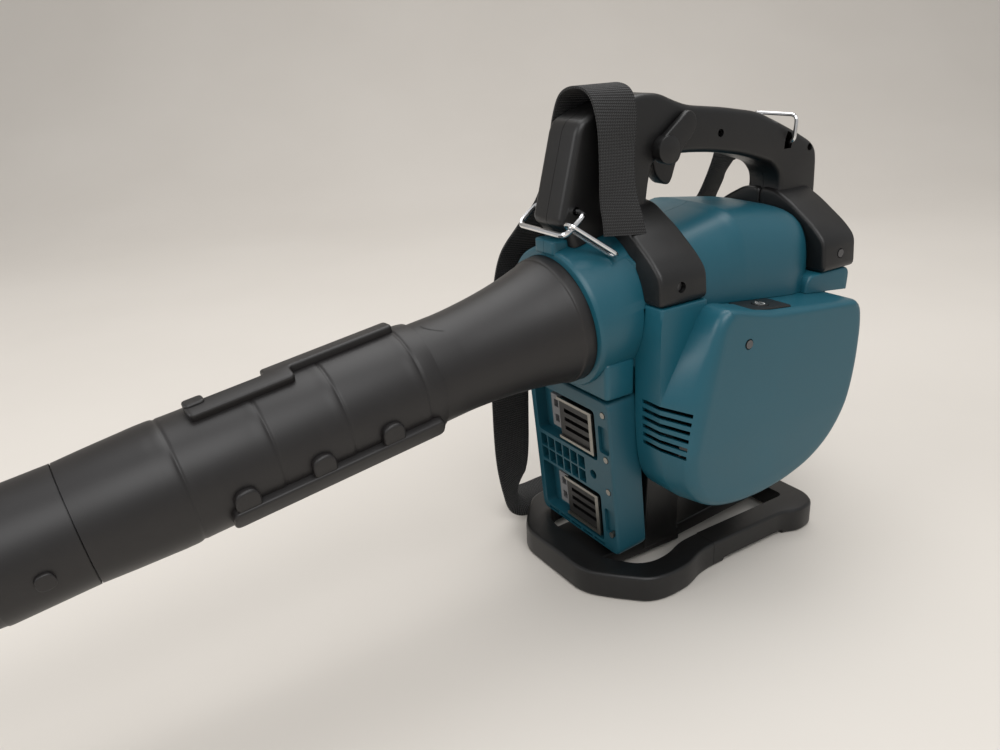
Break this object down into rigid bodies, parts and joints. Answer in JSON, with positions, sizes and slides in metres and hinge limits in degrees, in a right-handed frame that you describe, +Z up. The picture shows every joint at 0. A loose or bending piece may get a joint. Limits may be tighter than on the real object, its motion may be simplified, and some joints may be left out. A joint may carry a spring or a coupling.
{
  "type": "cordless leaf blower",
  "caption": "Hand-held cordless leaf blower with a telescopic tube, side motor cover, two battery bays, loop handle, ground stand and shoulder strap.",
  "frame": {"origin": "underside of the stand's front bar, in the middle plane, on the ground", "axes": "+Z up; -X towards the nozzle, +X towards the rear of the handle; -Y motor side, +Y air inlet side"},
  "size_m": [0.8431, 0.2446, 0.3909],
  "materials": {
    "black": "fine textured moulded plastic",
    "board": "plain",
    "chrome": "polished",
    "copper": "wound copper",
    "grey": "plain",
    "steel": "plain",
    "teal": "satin moulded plastic",
    "webbing": "woven nylon"
  },
  "bodies": {
    "chassis": {"battery_housing": "teal", "block_screw_1": "steel", "block_screw_2": "steel", "block_screw_3": "steel", "block_screw_4": "steel", "contact_rails_lower": "steel", "contact_rails_upper": "steel", "controller_board": "board", "cover_screw": "steel", "front_bearing": "steel", "handle_left": "black", "handle_left_screw_front": "steel", "handle_left_screw_rear": "steel", "handle_right": "black", "handle_right_screw_front": "steel", "handle_right_screw_rear": "steel", "housing_left": "teal", "housing_right": "teal", "inlet_hinge_pin": "steel", "latch_plate_lower": "grey", "latch_plate_upper": "grey", "motor_bracket": "grey", "motor_cover": "teal", "motor_stator": "copper", "power_panel": "black", "rear_bearing": "steel", "stand_front": "black", "stand_rear": "black", "stand_screw_1": "steel", "stand_screw_2": "steel", "strap": "webbing", "switch_unit": "black", "terminal_lower": "black", "terminal_upper": "black", "trigger_pin": "steel", "trigger_spring": "steel"},
    "outlet_pipe": {"outlet_pipe": "black"},
    "nozzle_sleeve": {"nozzle_sleeve": "black"},
    "nozzle_tip": {"nozzle_tip": "black"},
    "trigger": {"trigger": "black"},
    "control_lever": {"control_lever": "black"},
    "power_button": {"power_button": "black"},
    "fan": {"impeller": "black", "motor_shaft": "steel", "fan_nut": "steel", "motor_rotor": "steel"},
    "inlet_cover": {"inlet_cover": "black"},
    "inlet_knob": {"inlet_knob": "black"},
    "front_ring": {"front_ring": "chrome", "snap_hook_front": "chrome"},
    "rear_ring": {"rear_ring": "chrome", "snap_hook_rear": "chrome"}
  },
  "joints": [
    {"name": "pipe_twist", "type": "hinge", "parent": "chassis", "child": "outlet_pipe", "pos_m": [-0.0034, 0, 0.2246], "axis": [-0.9895, 0, -0.1444], "range_deg": [0, 25]},
    {"name": "sleeve_slide", "type": "slide", "parent": "outlet_pipe", "child": "nozzle_sleeve", "axis": [-0.9895, 0, -0.1444], "range_m": [0, 0.098]},
    {"name": "tip_twist", "type": "hinge", "parent": "nozzle_sleeve", "child": "nozzle_tip", "pos_m": [-0.0034, 0, 0.2246], "axis": [-0.9895, 0, -0.1444], "range_deg": [0, 25]},
    {"name": "trigger_pull", "type": "hinge", "parent": "chassis", "child": "trigger", "pos_m": [0.0885, 0, 0.3435], "axis": [0, -1, 0], "range_deg": [0, 10], "stiffness_Nm_per_rad": 1.2, "springref_deg": -14.32, "deforming": ["trigger_spring"]},
    {"name": "lever_turn", "type": "hinge", "parent": "chassis", "child": "control_lever", "pos_m": [0.0855, -0.022, 0.342], "axis": [0, -1, 0], "range_deg": [0, 45]},
    {"name": "power_press", "type": "slide", "parent": "chassis", "child": "power_button", "axis": [-0.1132, 0, -0.9936], "range_m": [0, 0.0006], "stiffness_N_per_m": 500},
    {"name": "fan_spin", "type": "hinge", "parent": "chassis", "child": "fan", "pos_m": [0.126, 0, 0.186], "axis": [0, 1, 0], "continuous": true},
    {"name": "inlet_open", "type": "hinge", "parent": "chassis", "child": "inlet_cover", "pos_m": [0.0545, 0.064, 0.186], "axis": [0, 0, 1], "range_deg": [0, 70]},
    {"name": "inlet_latch", "type": "hinge", "parent": "inlet_cover", "child": "inlet_knob", "pos_m": [0.2005, 0.07, 0.186], "axis": [0, 1, 0], "range_deg": [0, 90]},
    {"name": "front_ring_swing", "type": "hinge", "parent": "chassis", "child": "front_ring", "pos_m": [0.0045, 0, 0.3075], "axis": [0, 1, 0], "range_deg": [-4, 4]},
    {"name": "rear_ring_swing", "type": "hinge", "parent": "chassis", "child": "rear_ring", "pos_m": [0.226, 0, 0.333], "axis": [0, 1, 0], "range_deg": [-4, 4]}
  ]
}
